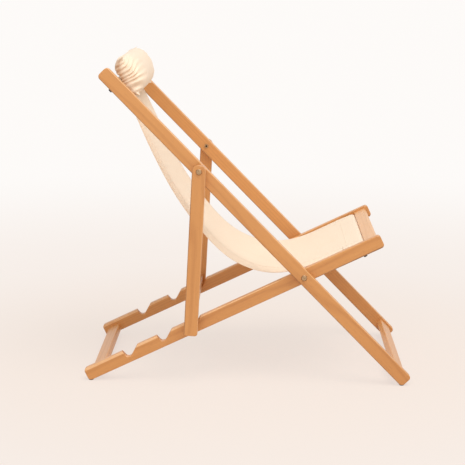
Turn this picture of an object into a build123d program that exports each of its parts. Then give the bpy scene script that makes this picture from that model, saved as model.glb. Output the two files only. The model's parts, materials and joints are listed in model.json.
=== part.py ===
from build123d import *
import os
from math import asin, atan2, cos, degrees, hypot, pi, radians, sin

# Reclining garden armchair: three wooden frames hinged together, a canvas sling hung
# between two dowels, and a head pillow. Millimetres, +X forward, +Y to the sitter's
# left, +Z up. The origin is on the ground, under the middle of the chair.
#
# The back frame leans back from the feet at the front to the head end. The seat frame
# rises from the feet at the rear to the front of the seat. They cross at one pivot on
# each side. The prop frame hangs from the back frame and stands in notches of the seat
# rails, and the notch that is used sets how far the back leans.
#
# Each frame is drawn in its own axes: X along its rails, Y across the chair and Z
# square to the rails, with zero at its pivot.

# Wood sections
rail_depth = 40.0
rail_thickness = 20.0
crossbar_width = 40.0
crossbar_thickness = 20.0
arris = 2.0
bar_edge_radius = 4.0

# Width of the chair
back_frame_width = 556.0
frame_gap = 1.0

# Where the frames cross and how far their rails reach from the crossing
cross_pivot_height = 326.0
back_rail_up = 836.0
back_rail_down = 441.0
back_rail_corner = 11.0
seat_rail_rear = 716.0
seat_rail_front = 252.0
seat_rail_corner = 10.0

# Crossbars of the back and seat frames
foot_bar_setback = 18.0
foot_bar_rise = 3.0
rear_bar_setback = 16.0
rear_bar_drop = 6.0
board_setback = 10.0
board_rise = 3.0
tenon_length = 12.0
tenon_shoulder = 4.0

# Notches in the upper edge of the seat rails, measured from the crossing
upright_notch = 363.0
middle_notch = 457.0
reclined_notch = 571.0
notch_radius = 12.0
notch_floor_drop = 2.6
notch_clearance = 0.3
notch_rear_lean = 17.0
notch_front_slope = 37.0
notch_lip_radius = 9.0

# Prop frame
prop_pivot_up = 439.0
prop_tail = 24.0
prop_tail_corner = 8.0

# Dowels that carry the sling, and their locking screws
top_dowel_diameter = 24.0
top_dowel_setback = 55.5
front_dowel_diameter = 20.0
front_dowel_rise = 2.0
dowel_seat = 14.0
screw_diameter = 5.0
screw_bite = 7.0
screw_head_diameter = 11.0
screw_head_height = 4.0
screw_slot_width = 1.6
screw_slot_depth = 1.6

# Pivot bolts, the round nuts on their inner ends, and washers
bolt_diameter = 6.0
bolt_head_diameter = 18.0
bolt_head_height = 4.0
bolt_dome_height = 2.2
bolt_dome_width = 3.2
bolt_socket_width = 5.0
bolt_socket_depth = 2.4
bolt_running_clearance = 0.05
nut_width = 10.0
nut_height = 3.6
bolt_end_inset = 1.4
nut_washer_diameter = 14.0
nut_washer_thickness = 1.2
spacer_diameter = 18.0

# Glides under the feet
glide_height = 3.0
glide_diameter = 14.0
glide_edge = 1.0
foot_flat_depth = 1.4

# Sling
sling_side_gap = 17.0
cloth_thickness = 1.5
cloth_clearance = 0.3
pocket_gap = 1.3
top_seam_reach = 48.0
front_seam_reach = 40.0
seam_overlap = 4.0
seam_step = 0.4
hem_width = 30.0
hem_curl = 10.0

# Run of the sling, seen from the side. Shares of the distance between the dowels: first
# along the line from the top dowel to the front one, then square to it, down and back.
sling_run_shares = (
    (0.101, 0.040),
    (0.243, 0.127),
    (0.467, 0.233),
    (0.614, 0.271),
    (0.790, 0.238),
    (0.874, 0.162),
    (0.941, 0.067),
)
hem_curl_shares = (0.4, 0.75, 1.0, 1.0, 0.9, 0.5, 0.15)
hem_station_shares = (0.0, 0.4, 0.7, 1.0)
top_departure = 30.0
front_arrival = 57.0

# Head pillow: two panels sewn round their edge, with the seam between its front and back
pillow_inset = 5.0
pillow_half_height = 60.0
pillow_front_depth = 52.0
pillow_back_depth = 17.0
pillow_rise = 5.0
pillow_fullness = 2.25
pillow_arcs = 6
# Each section of the pillow: where it lies between the middle and the end, and then its
# height and its depth, as shares of the full ones.
pillow_section_shares = (
    (0.0, 0.98, 1.0),
    (0.72, 0.97, 0.94),
    (0.9, 0.98, 0.74),
    (0.97, 0.99, 0.46),
    (1.0, 1.0, 0.16),
)

# The Y layers: seat rails innermost, back rails next, props outside
back_outer = back_frame_width / 2
back_inner = back_outer - rail_thickness
seat_outer = back_inner - frame_gap
seat_inner = seat_outer - rail_thickness
prop_inner = back_outer + frame_gap
prop_outer = prop_inner + rail_thickness

pivot_reach = 2 * rail_thickness + frame_gap
half_depth = rail_depth / 2
overrun = rail_depth
standing = (Align.CENTER, Align.CENTER, Align.MIN)
hanging = (Align.CENTER, Align.CENTER, Align.MAX)


def foot_tilt(reach, corner):
    """Tilt, in degrees, that sets a rail's rounded lower corner on its glide."""
    along = reach - corner
    below = half_depth - corner
    drop = cross_pivot_height - (corner - foot_flat_depth + glide_height)
    return degrees(asin(drop / hypot(along, below)) - atan2(below, along))


back_tilt = foot_tilt(back_rail_down, back_rail_corner)
seat_tilt = foot_tilt(seat_rail_rear, seat_rail_corner)
back_place = Pos(0, 0, cross_pivot_height) * Rot(0, back_tilt, 0)
seat_place = Pos(0, 0, cross_pivot_height) * Rot(0, -seat_tilt, 0)


def placed_point(place, along, across):
    """Where a point of a frame lies, as x and z of the chair."""
    spot = (place * Pos(along, 0, across)).position
    return spot.X, spot.Z


# The prop's crossbar is round below and stands on the floor of the upright notch, so the
# prop's length and slope follow from its pivot and that notch.
bar_round = crossbar_thickness / 2
bar_centre_rise = bar_round + notch_clearance - notch_floor_drop
prop_pivot_x, prop_pivot_z = placed_point(back_place, -prop_pivot_up, 0)
notch_x, notch_z = placed_point(seat_place, -upright_notch, bar_centre_rise)
prop_reach = hypot(notch_x - prop_pivot_x, notch_z - prop_pivot_z)
prop_slope = degrees(atan2(notch_z - prop_pivot_z, notch_x - prop_pivot_x))
prop_place = Pos(prop_pivot_x, 0, prop_pivot_z) * Rot(0, -prop_slope, 0)


def slab(section, y_from, y_to):
    """A section drawn along and across a frame, extruded from one y to another."""
    return extrude(Plane.XZ.offset(-y_to) * section, amount=y_to - y_from)


def both_sides(piece):
    """A piece on the left and its mirror image on the right, as two solids."""
    return Compound(children=[piece.solid(), mirror(piece.solid(), about=Plane.XZ)])


def eased(section, y_from, y_to):
    """A flat wooden piece with the edges of its outline planed off on both faces."""
    piece = slab(section, y_from, y_to)
    faces = piece.faces().filter_by(Axis.Y)
    return chamfer(faces.edges(), arris)


def rail_outline(reach_low, reach_high, corner):
    """A plain rail with rounded ends, from one reach to the other."""
    length = reach_low + reach_high
    middle = (reach_high - reach_low) / 2
    return Pos(middle, 0) * RectangleRounded(length, rail_depth, corner)


def notch_cut(reach):
    """One notch: a leaning rear wall, a round floor and a sloped front wall."""
    lean = radians(notch_rear_lean)
    slope = radians(notch_front_slope)
    centre = Vector(-reach, notch_radius - notch_floor_drop)
    rear_low = centre + Vector(-cos(lean), -sin(lean)) * notch_radius
    floor_mid = centre + Vector(0, -notch_radius)
    front_low = centre + Vector(sin(slope), -cos(slope)) * notch_radius
    top = half_depth + overrun
    rear_high = rear_low + Vector(-sin(lean), cos(lean)) * ((top - rear_low.Y) / cos(lean))
    front_lip = front_low + Vector(cos(slope), sin(slope)) * ((half_depth - front_low.Y) / sin(slope))
    lip_tangent = notch_lip_radius * (1 - cos(slope)) / sin(slope)
    lip_start = front_lip - Vector(cos(slope), sin(slope)) * lip_tangent
    lip_end = front_lip + Vector(lip_tangent, 0)
    lip_arc = RadiusArc(lip_start, lip_end, notch_lip_radius)
    if lip_arc.position_at(0.5).Y < lip_start.Y + (lip_end.Y - lip_start.Y) / 2:
        lip_arc = RadiusArc(lip_start, lip_end, -notch_lip_radius)
    outline = [
        Line(rear_high, rear_low),
        ThreePointArc(rear_low, floor_mid, front_low),
        Line(front_low, lip_start),
        lip_arc,
        Line(lip_end, (lip_end.X, top)),
        Line((lip_end.X, top), rear_high),
    ]
    return make_face(outline)


def bar_section(centre, rise):
    """A crossbar lying flat in a frame, with softened edges."""
    return Pos(centre, rise) * RectangleRounded(crossbar_width, crossbar_thickness, bar_edge_radius)


def tenon_section(centre, rise, width, thickness):
    """The tongue on the end of a crossbar, set in from all four faces."""
    tongue_width = width - 2 * tenon_shoulder
    tongue_thickness = thickness - 2 * tenon_shoulder
    return Pos(centre, rise) * Rectangle(tongue_width, tongue_thickness)


def crossbar(section, tenon, inner):
    """A crossbar between two inner faces, with its tenons in both rails."""
    return slab(section, -inner, inner) + slab(tenon, -inner - tenon_length, inner + tenon_length)


def screw(along, across, y):
    """A locking screw, driven up through a rail into the end of a dowel."""
    length = half_depth + screw_bite + across
    shank = Cylinder(screw_diameter / 2, length, align=standing)
    head = Cylinder(screw_head_diameter / 2, screw_head_height, align=hanging)
    slot = Pos(0, 0, -screw_head_height) * Box(screw_head_diameter, screw_slot_width, 2 * screw_slot_depth)
    return Pos(along, y, -half_depth) * (shank + (head - slot))


def screw_hole(along, across, y):
    """The hole that a locking screw fills."""
    length = half_depth + screw_bite + across
    hole = Cylinder(screw_diameter / 2, length, align=standing)
    return Pos(along, y, -half_depth) * hole


def bolt(outer):
    """A dome-head bolt through two rails, from the outer face into its nut."""
    length = pivot_reach + nut_washer_thickness + nut_height - bolt_end_inset
    head = Cylinder(bolt_head_diameter / 2, bolt_head_height, align=standing)
    head = chamfer(head.edges().sort_by(Axis.Z)[-1], bolt_dome_width, bolt_dome_height)
    socket = RegularPolygon(bolt_socket_width / 2, 6, major_radius=False)
    head -= extrude(Pos(0, 0, bolt_head_height - bolt_socket_depth) * socket, amount=bolt_socket_depth)
    shank = Cylinder(bolt_diameter / 2, length, align=hanging)
    return Pos(0, outer, 0) * Rot(-90, 0, 0) * (head + shank)


def washer(diameter, y, thickness):
    """A washer round a pivot bolt, from y outwards."""
    return slab(Circle(diameter / 2) - Circle(bolt_diameter / 2), y, y + thickness)


def nut(y):
    """A hexagon nut on the end of a pivot bolt, from y outwards."""
    section = RegularPolygon(nut_width / 2, 6, major_radius=False) - Circle(bolt_diameter / 2)
    return slab(section, y, y + nut_height)


def glide(place, along, across, y):
    """A round plastic glide under the flat of a foot, below the centre of its corner."""
    x, _ = placed_point(place, along, across)
    disc = Cylinder(glide_diameter / 2, glide_height, align=standing)
    return Pos(x, y, 0) * chamfer(disc.edges().sort_by(Axis.Z)[0], glide_edge)


ground_cut = Pos(0, 0, glide_height / 2) * Box(2 * seat_rail_rear, 2 * prop_outer, glide_height)

# Back frame: rails, foot crossbar, top dowel and its screws
top_dowel_along = -(back_rail_up - top_dowel_setback)
foot_bar_along = back_rail_down - foot_bar_setback - crossbar_width / 2
foot_tenon = tenon_section(foot_bar_along, foot_bar_rise, crossbar_width, crossbar_thickness)
back_layer_middle = (back_inner + back_outer) / 2

back_rail = eased(rail_outline(back_rail_up, back_rail_down, back_rail_corner), back_inner, back_outer)
back_rail -= slab(Circle(bolt_diameter / 2 + bolt_running_clearance), back_inner, back_outer)
back_rail -= slab(Pos(-prop_pivot_up, 0) * Circle(bolt_diameter / 2), back_inner, back_outer)
back_rail -= slab(foot_tenon, back_inner, back_inner + tenon_length)
top_dowel_section = Pos(top_dowel_along, 0) * Circle(top_dowel_diameter / 2)
back_rail -= slab(top_dowel_section, back_inner, back_inner + dowel_seat)
back_rail -= screw_hole(top_dowel_along, 0, back_layer_middle)
back_rail = back_place * back_rail - ground_cut

foot_crossbar = back_place * crossbar(bar_section(foot_bar_along, foot_bar_rise), foot_tenon, back_inner)


def dowel(along, rise, diameter, inner):
    """A dowel between two rails, seated in blind holes and drilled for its screws."""
    reach = inner + dowel_seat
    rod = Pos(along, 0, rise) * Rot(-90, 0, 0) * Cylinder(diameter / 2, 2 * reach)
    for side in (inner + rail_thickness / 2, -inner - rail_thickness / 2):
        rod -= screw_hole(along, rise, side)
    return rod


top_sling_dowel = back_place * dowel(top_dowel_along, 0, top_dowel_diameter, back_inner)
top_dowel_screw = back_place * screw(top_dowel_along, 0, back_layer_middle)

# Seat frame: notched rails, rear crossbar, front board, front dowel and its screws
rear_bar_along = -(seat_rail_rear - rear_bar_setback - crossbar_width / 2)
board_along = seat_rail_front - board_setback - crossbar_width / 2
pocket_grown = cloth_clearance + cloth_thickness
front_pocket_radius = front_dowel_diameter / 2 + pocket_grown
top_pocket_radius = top_dowel_diameter / 2 + pocket_grown
front_dowel_along = board_along - crossbar_width / 2 - pocket_gap - front_pocket_radius
rear_tenon = tenon_section(rear_bar_along, -rear_bar_drop, crossbar_width, crossbar_thickness)
board_tenon = tenon_section(board_along, board_rise, crossbar_width, crossbar_thickness)
front_dowel_section = Pos(front_dowel_along, front_dowel_rise) * Circle(front_dowel_diameter / 2)
seat_layer_middle = (seat_inner + seat_outer) / 2

seat_outline = rail_outline(seat_rail_rear, seat_rail_front, seat_rail_corner)
for notch_reach in (upright_notch, middle_notch, reclined_notch):
    seat_outline -= notch_cut(notch_reach)
seat_rail = eased(seat_outline, seat_inner, seat_outer)
seat_rail -= slab(Circle(bolt_diameter / 2), seat_inner, seat_outer)
seat_rail -= slab(rear_tenon, seat_inner, seat_inner + tenon_length)
seat_rail -= slab(board_tenon, seat_inner, seat_inner + tenon_length)
seat_rail -= slab(front_dowel_section, seat_inner, seat_inner + dowel_seat)
seat_rail -= screw_hole(front_dowel_along, front_dowel_rise, seat_layer_middle)
seat_rail = seat_place * seat_rail - ground_cut

rear_crossbar = seat_place * crossbar(bar_section(rear_bar_along, -rear_bar_drop), rear_tenon, seat_inner)

# The front board is fully rounded along its front edge.
board_section = Pos(board_along, board_rise) * Rectangle(crossbar_width, crossbar_thickness)
rear_corners = board_section.vertices().group_by(Axis.X)[0]
board_section = fillet(rear_corners, bar_edge_radius)
front_corners = board_section.vertices().group_by(Axis.X)[-1]
board_section = fillet(front_corners, crossbar_thickness / 2 - arris / 2)
seat_front_board = seat_place * crossbar(board_section, board_tenon, seat_inner)

front_sling_dowel = seat_place * dowel(front_dowel_along, front_dowel_rise, front_dowel_diameter, seat_inner)
front_dowel_screw = seat_place * screw(front_dowel_along, front_dowel_rise, seat_layer_middle)

# Prop frame: two props, round at the pivot, and the crossbar that drops in a notch
prop_length = prop_reach + prop_tail
prop_bar_along = prop_reach + bar_round - crossbar_width / 2
prop_outline = Pos(prop_length / 2, 0) * Rectangle(prop_length, rail_depth)
prop_outline += Circle(half_depth)
tail_corner = prop_outline.vertices().group_by(Axis.X)[-1].sort_by(Axis.Y)[-1]
prop_outline = fillet(tail_corner, prop_tail_corner)
prop_bar_section = Pos(prop_bar_along, 0) * Rectangle(crossbar_width, crossbar_thickness)
upper_corners = prop_bar_section.vertices().group_by(Axis.X)[0]
prop_bar_section = fillet(upper_corners, bar_edge_radius)
prop_bar_section -= Pos(prop_reach + bar_round, 0) * Rectangle(2 * bar_round, crossbar_thickness)
prop_bar_section += Pos(prop_reach, 0) * Circle(bar_round)
prop_tenon = tenon_section(prop_bar_along, 0, crossbar_width, crossbar_thickness)
prop = eased(prop_outline, prop_inner, prop_outer)
prop -= slab(Circle(bolt_diameter / 2 + bolt_running_clearance), prop_inner, prop_outer)
prop -= slab(prop_tenon, prop_inner, prop_inner + tenon_length)
prop = prop_place * prop
prop_crossbar = prop_place * crossbar(prop_bar_section, prop_tenon, prop_inner)

# Pivot fasteners, on the crossing and on the prop pivot
cross_pivot = Pos(0, 0, cross_pivot_height)
prop_pivot = Pos(prop_pivot_x, 0, prop_pivot_z)
cross_bolt = cross_pivot * bolt(back_outer)
nut_seat = nut_washer_thickness + nut_height
cross_spacer = cross_pivot * washer(spacer_diameter, seat_outer, frame_gap)
cross_nut_washer = cross_pivot * washer(
    nut_washer_diameter, seat_inner - nut_washer_thickness, nut_washer_thickness
)
cross_nut = cross_pivot * nut(seat_inner - nut_seat)
prop_bolt = prop_pivot * bolt(prop_outer)
prop_spacer = prop_pivot * washer(spacer_diameter, back_outer, frame_gap)
prop_nut_washer = prop_pivot * washer(
    nut_washer_diameter, back_inner - nut_washer_thickness, nut_washer_thickness
)
prop_nut = prop_pivot * nut(back_inner - nut_seat)

# Glides, under the front feet of the back rails and the rear feet of the seat rails
front_foot_along = back_rail_down - back_rail_corner
front_foot_across = back_rail_corner - half_depth
front_glide = glide(back_place, front_foot_along, front_foot_across, back_layer_middle)
rear_foot_along = seat_rail_corner - seat_rail_rear
rear_foot_across = seat_rail_corner - half_depth
rear_glide = glide(seat_place, rear_foot_along, rear_foot_across, seat_layer_middle)

# Sling, in the plane of the chair's side: x forward, y up
top_x, top_z = placed_point(back_place, top_dowel_along, 0)
front_x, front_z = placed_point(seat_place, front_dowel_along, front_dowel_rise)
top_centre = Vector(top_x, top_z)
front_centre = Vector(front_x, front_z)
span = (front_centre - top_centre).length
chord = (front_centre - top_centre).normalized()
behind = Vector(chord.Y, -chord.X)


def heading(degrees_behind):
    """A direction turned from the line between the dowels, down and back."""
    turn = radians(degrees_behind)
    return chord * cos(turn) + behind * sin(turn)


top_heading = heading(top_departure)
front_heading = heading(-front_arrival)


def front_normal(direction):
    """Square to a direction of the sling, towards the sitter."""
    return Vector(-direction.Y, direction.X)


def pocket(centre, radius, direction, reach):
    """The sleeve round a dowel: a loop that closes at its seam, along the sling's run."""
    touch = centre + front_normal(direction) * radius
    seam = touch + direction * reach
    axis = (seam - centre).normalized()
    other = centre + axis * ((touch - centre).dot(axis) * 2) - (touch - centre)
    crown = centre - axis * radius
    outline = make_face([Line(touch, seam), Line(seam, other), ThreePointArc(other, crown, touch)])
    hollow = offset(outline, amount=-cloth_thickness)
    return outline - hollow, seam


top_pocket, top_seam = pocket(top_centre, top_pocket_radius, top_heading, top_seam_reach)
front_pocket, front_seam = pocket(front_centre, front_pocket_radius, front_heading, -front_seam_reach)


def section_at(y, outline):
    """An outline of the chair's side, standing at a given y."""
    return Plane.XZ.offset(-y) * outline


def arc_chain(points):
    """Arcs through each three points in turn, the last of one being the first of the next."""
    return [ThreePointArc(*points[index : index + 3]) for index in range(0, len(points) - 2, 2)]


def normals_along(arcs):
    """Square to a chain of arcs at each of its points, towards the sitter."""
    normals = [front_normal(arcs[0].tangent_at(0))]
    for arc, following in zip(arcs, arcs[1:] + arcs[-1:]):
        normals.append(front_normal(arc.tangent_at(0.5)))
        arriving = arc.tangent_at(1)
        leaving = following.tangent_at(0) if following is not arc else arriving
        normals.append(front_normal((arriving + leaving).normalized()))
    return normals


def cloth_outline(curl):
    """The sling between its seams, with its edge curled back by some amount."""
    run = [top_seam - top_heading * seam_overlap - front_normal(top_heading) * seam_step]
    for (along, back), share in zip(sling_run_shares, hem_curl_shares):
        run.append(top_centre + chord * (along * span) + behind * (back * span + curl * share))
    run.append(front_seam + front_heading * seam_overlap - front_normal(front_heading) * seam_step)
    upper = arc_chain(run)
    under = [point - normal * cloth_thickness for point, normal in zip(run, normals_along(upper))]
    ends = [Line(run[0], under[0]), Line(run[-1], under[-1])]
    return make_face(upper + arc_chain(under) + ends)


def curled(share):
    """The sling's outline at a share of the way from the flat cloth to its edge."""
    return cloth_outline(hem_curl * share**2)


half_sling = seat_inner - sling_side_gap
flat_half = half_sling - hem_width
hem_stations = [(flat_half + hem_width * share, curled(share)) for share in hem_station_shares]
sling = slab(curled(0), -flat_half, flat_half)
for (y_near, near_outline), (y_far, far_outline) in zip(hem_stations, hem_stations[1:]):
    strip = loft([section_at(y_near, near_outline), section_at(y_far, far_outline)], ruled=True)
    sling += strip
    sling += mirror(strip, about=Plane.XZ)
sling += slab(top_pocket, -half_sling, half_sling)
sling += slab(front_pocket, -half_sling, half_sling)

# Head pillow, lying on the sling's sleeve
half_pillow_length = half_sling - pillow_inset
pillow_seam = top_pocket_radius + cloth_clearance + pillow_back_depth
pillow_normal = front_normal(top_heading)


def pillow_outline(height_share, depth_share):
    """One section of the pillow, fuller in front of its seam than behind it."""

    def edge_point(turn):
        along_share = abs(cos(turn)) ** (2 / pillow_fullness)
        depth = pillow_front_depth if sin(turn) > 0 else -pillow_back_depth
        along = pillow_half_height * height_share * (along_share if cos(turn) > 0 else -along_share)
        out = depth * depth_share * abs(sin(turn)) ** (2 / pillow_fullness)
        return top_centre + top_heading * (along - pillow_rise) + pillow_normal * (pillow_seam + out)

    step = 2 * pi / pillow_arcs
    turns = [step * index for index in range(pillow_arcs)]
    arcs = [
        ThreePointArc(edge_point(turn), edge_point(turn + step / 2), edge_point(turn + step))
        for turn in turns
    ]
    return make_face(arcs)


pillow_sections = [
    section_at(place * half_pillow_length, pillow_outline(height, depth))
    for place, height, depth in pillow_section_shares
]
half_pillow = loft(pillow_sections, ruled=True)
head_pillow = half_pillow + mirror(half_pillow, about=Plane.XZ)

nodes = {
    "left_back_rail": back_rail,
    "right_back_rail": mirror(back_rail, about=Plane.XZ),
    "foot_crossbar": foot_crossbar,
    "top_sling_dowel": top_sling_dowel,
    "top_dowel_screws": both_sides(top_dowel_screw),
    "left_seat_rail": seat_rail,
    "right_seat_rail": mirror(seat_rail, about=Plane.XZ),
    "rear_crossbar": rear_crossbar,
    "seat_front_board": seat_front_board,
    "front_sling_dowel": front_sling_dowel,
    "front_dowel_screws": both_sides(front_dowel_screw),
    "left_prop": prop,
    "right_prop": mirror(prop, about=Plane.XZ),
    "prop_crossbar": prop_crossbar,
    "cross_pivot_bolts": both_sides(cross_bolt),
    "cross_spacer_washers": both_sides(cross_spacer),
    "cross_nut_washers": both_sides(cross_nut_washer),
    "cross_pivot_nuts": both_sides(cross_nut),
    "prop_pivot_bolts": both_sides(prop_bolt),
    "prop_spacer_washers": both_sides(prop_spacer),
    "prop_nut_washers": both_sides(prop_nut_washer),
    "prop_pivot_nuts": both_sides(prop_nut),
    "front_glides": both_sides(front_glide),
    "rear_glides": both_sides(rear_glide),
    "sling": sling,
    "head_pillow": head_pillow,
}

# The origin lies under the middle of the chair's length, so the chair is moved along X.
boxes = [piece.bounding_box() for piece in nodes.values()]
length_middle = (min(box.min.X for box in boxes) + max(box.max.X for box in boxes)) / 2
os.makedirs("parts", exist_ok=True)
for name, piece in nodes.items():
    export_step(Pos(-length_middle, 0, 0) * piece, f"parts/{name}.step")

print("back tilt", round(back_tilt, 4), "seat tilt", round(seat_tilt, 4), "prop slope", round(prop_slope, 4))
print("cross pivot", round(-length_middle, 4), cross_pivot_height)
print("prop pivot", round(prop_pivot_x - length_middle, 4), round(prop_pivot_z, 4))
print("prop reach", round(prop_reach, 4))
print("top dowel", round(top_x - length_middle, 4), round(top_z, 4))
print("front dowel", round(front_x - length_middle, 4), round(front_z, 4))
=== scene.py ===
import json
from math import atan2, ceil, cos, pi, radians, sin

import bpy
import numpy as np
from bpy.props import FloatProperty, FloatVectorProperty, IntProperty, PointerProperty
from mathutils import Matrix, Vector, noise


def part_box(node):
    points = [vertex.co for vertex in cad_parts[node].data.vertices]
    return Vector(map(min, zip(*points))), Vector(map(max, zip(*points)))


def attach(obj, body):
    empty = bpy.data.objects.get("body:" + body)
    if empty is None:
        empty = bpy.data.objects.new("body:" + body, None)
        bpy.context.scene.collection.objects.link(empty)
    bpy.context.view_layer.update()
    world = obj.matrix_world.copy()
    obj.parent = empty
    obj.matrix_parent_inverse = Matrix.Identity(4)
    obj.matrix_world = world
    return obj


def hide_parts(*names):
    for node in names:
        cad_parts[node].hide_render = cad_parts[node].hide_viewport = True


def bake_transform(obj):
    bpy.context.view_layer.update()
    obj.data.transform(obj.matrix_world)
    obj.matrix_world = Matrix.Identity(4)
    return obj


bl_info = {
    "name": "Reclining garden armchair",
    "version": (1, 0, 0),
    "blender": (4, 5, 0),
    "location": "3D View > Sidebar > Garden chair",
    "description": "Wood, canvas, stitching and pillow of a folding garden chair",
    "category": "Object",
}

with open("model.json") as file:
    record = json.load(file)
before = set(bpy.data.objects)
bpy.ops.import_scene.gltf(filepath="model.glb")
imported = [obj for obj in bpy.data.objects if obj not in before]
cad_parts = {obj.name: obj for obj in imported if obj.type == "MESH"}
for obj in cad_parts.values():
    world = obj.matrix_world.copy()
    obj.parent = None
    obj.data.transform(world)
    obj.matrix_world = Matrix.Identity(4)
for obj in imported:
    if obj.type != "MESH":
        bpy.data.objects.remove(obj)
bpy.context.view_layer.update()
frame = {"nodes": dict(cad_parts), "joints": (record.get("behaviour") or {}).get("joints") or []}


def centre_of(node):
    """The middle of a node's box."""
    low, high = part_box(node)
    return (low + high) / 2


def half_size_of(node):
    """Half of a node's box, along each axis."""
    low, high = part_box(node)
    return (high - low) / 2


joint_places = {joint["name"]: Vector(joint["pos_m"]) for joint in frame["joints"]}
cross_pivot = joint_places["back_lift"]
prop_pivot = joint_places["prop_swing"]
top_dowel = centre_of("top_sling_dowel")
front_dowel = centre_of("front_sling_dowel")
top_dowel_radius = half_size_of("top_sling_dowel").x
front_dowel_radius = half_size_of("front_sling_dowel").x
sling_half_width = half_size_of("sling").y
back_layer_y = centre_of("left_back_rail").y
seat_layer_y = centre_of("left_seat_rail").y
prop_layer_y = centre_of("left_prop").y
rail_half_thickness = half_size_of("left_back_rail").y

# The wood's section, which the boxes of tilted rails don't give
RAIL_HALF_DEPTH = 0.02
BAR_HALF_WIDTH = 0.02


class ChairSizes(bpy.types.PropertyGroup):
    """Sizes of the soft pieces."""

    cloth_thickness: FloatProperty(
        name="Cloth thickness", description="Thickness of one layer of canvas",
        default=0.0011, unit="LENGTH")
    top_clearance: FloatProperty(
        name="Top clearance", description="Room between the top dowel and its sleeve",
        default=0.0006, unit="LENGTH")
    front_clearance: FloatProperty(
        name="Front clearance", description="Room between the front dowel and its sleeve",
        default=0.0026, unit="LENGTH")
    top_seam_reach: FloatProperty(
        name="Top seam reach", description="From the top dowel's side to the seam of its sleeve",
        default=0.048, unit="LENGTH")
    front_seam_reach: FloatProperty(
        name="Front seam reach", description="From the front dowel's side to the seam of its sleeve",
        default=0.040, unit="LENGTH")
    flap_length: FloatProperty(
        name="Flap length", description="Cloth left behind each sleeve's seam",
        default=0.014, unit="LENGTH")
    hem_width: FloatProperty(
        name="Hem width", description="Width of the folded hem along each side",
        default=0.030, unit="LENGTH")
    hem_curl: FloatProperty(
        name="Hem curl", description="How far the hems curl back from the flat cloth",
        default=0.010, unit="LENGTH")
    ripple: FloatProperty(
        name="Ripple", description="Height of the soft waves of the hung cloth",
        default=0.0012, unit="LENGTH")
    stitch_length: FloatProperty(
        name="Stitch length", description="Length of one stitch", default=0.0029, unit="LENGTH")
    stitch_pitch: FloatProperty(
        name="Stitch pitch", description="From one stitch to the next", default=0.0038, unit="LENGTH")
    thread_radius: FloatProperty(
        name="Thread radius", description="Half the thickness of the thread",
        default=0.00038, unit="LENGTH")
    weave_pitch: FloatProperty(
        name="Weave pitch", description="Width of one yarn of the canvas",
        default=0.0009, unit="LENGTH")
    pillow_length: FloatProperty(
        name="Pillow length", description="From one end seam of the pillow to the other",
        default=0.428, unit="LENGTH")
    pillow_front: FloatProperty(
        name="Pillow front", description="How far the pillow stands out in front of its seam",
        default=0.051, unit="LENGTH")
    pillow_back: FloatProperty(
        name="Pillow back",
        description="How far the pillow would swell behind its seam with nothing there",
        default=0.032, unit="LENGTH")
    pleat_depth: FloatProperty(
        name="Pleat depth", description="Height of the pleats that the end seams gather",
        default=0.0028, unit="LENGTH")
    pleat_reach: FloatProperty(
        name="Pleat reach", description="From an end seam to where its pleats stand highest",
        default=0.009, unit="LENGTH")
    pleat_count: IntProperty(
        name="Pleats", description="Pleats in each end seam", default=9)
    pillow_pressure: FloatProperty(
        name="Pillow filling", description="How hard the filling presses on the cover",
        default=2.5)


class ChairColours(bpy.types.PropertyGroup):
    """Colours of the finishes."""

    wood_light: FloatVectorProperty(
        name="Light wood", description="Early wood between the growth rings",
        default=(0.700, 0.332, 0.104), subtype="COLOR")
    wood_dark: FloatVectorProperty(
        name="Dark wood", description="Late wood in the growth rings and the pores",
        default=(0.450, 0.170, 0.045), subtype="COLOR")
    canvas: FloatVectorProperty(
        name="Canvas", description="Natural cream canvas",
        default=(0.960, 0.810, 0.640), subtype="COLOR")
    canvas_shade: FloatVectorProperty(
        name="Canvas between the yarns", description="Canvas in the gaps of its weave",
        default=(0.880, 0.690, 0.500), subtype="COLOR")
    # Painted shade, standing in for the shade deep in the pillow's gathers
    canvas_fold_shade: FloatVectorProperty(
        name="Painted shade in folds", description="Canvas deep in the pillow's gathers",
        default=(0.56, 0.30, 0.15), subtype="COLOR")
    thread: FloatVectorProperty(
        name="Thread", description="Sewing thread",
        default=(0.93, 0.79, 0.62), subtype="COLOR")
    fastener: FloatVectorProperty(
        name="Fasteners", description="Bronzed steel of the bolts, nuts and washers",
        default=(0.550, 0.360, 0.200), subtype="COLOR")
    # The screws' own blackened steel, also used as painted shade on the bolts' ends in the nuts
    screw: FloatVectorProperty(
        name="Screws", description="Blackened steel of the screws and of the bolts' threaded ends",
        default=(0.030, 0.024, 0.020), subtype="COLOR")
    glide: FloatVectorProperty(
        name="Glides", description="Moulded plastic under the feet",
        default=(0.030, 0.028, 0.028), subtype="COLOR")
    # Painted shadow: the floor is darker near the chair, for the chair's shadow
    floor_near_shadow: FloatVectorProperty(
        name="Near floor", description="Floor under the chair and round it",
        default=(0.925, 0.850, 0.800), subtype="COLOR")
    floor_far: FloatVectorProperty(
        name="Far floor", description="Floor at some distance from the chair",
        default=(0.985, 0.960, 0.940), subtype="COLOR")


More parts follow.
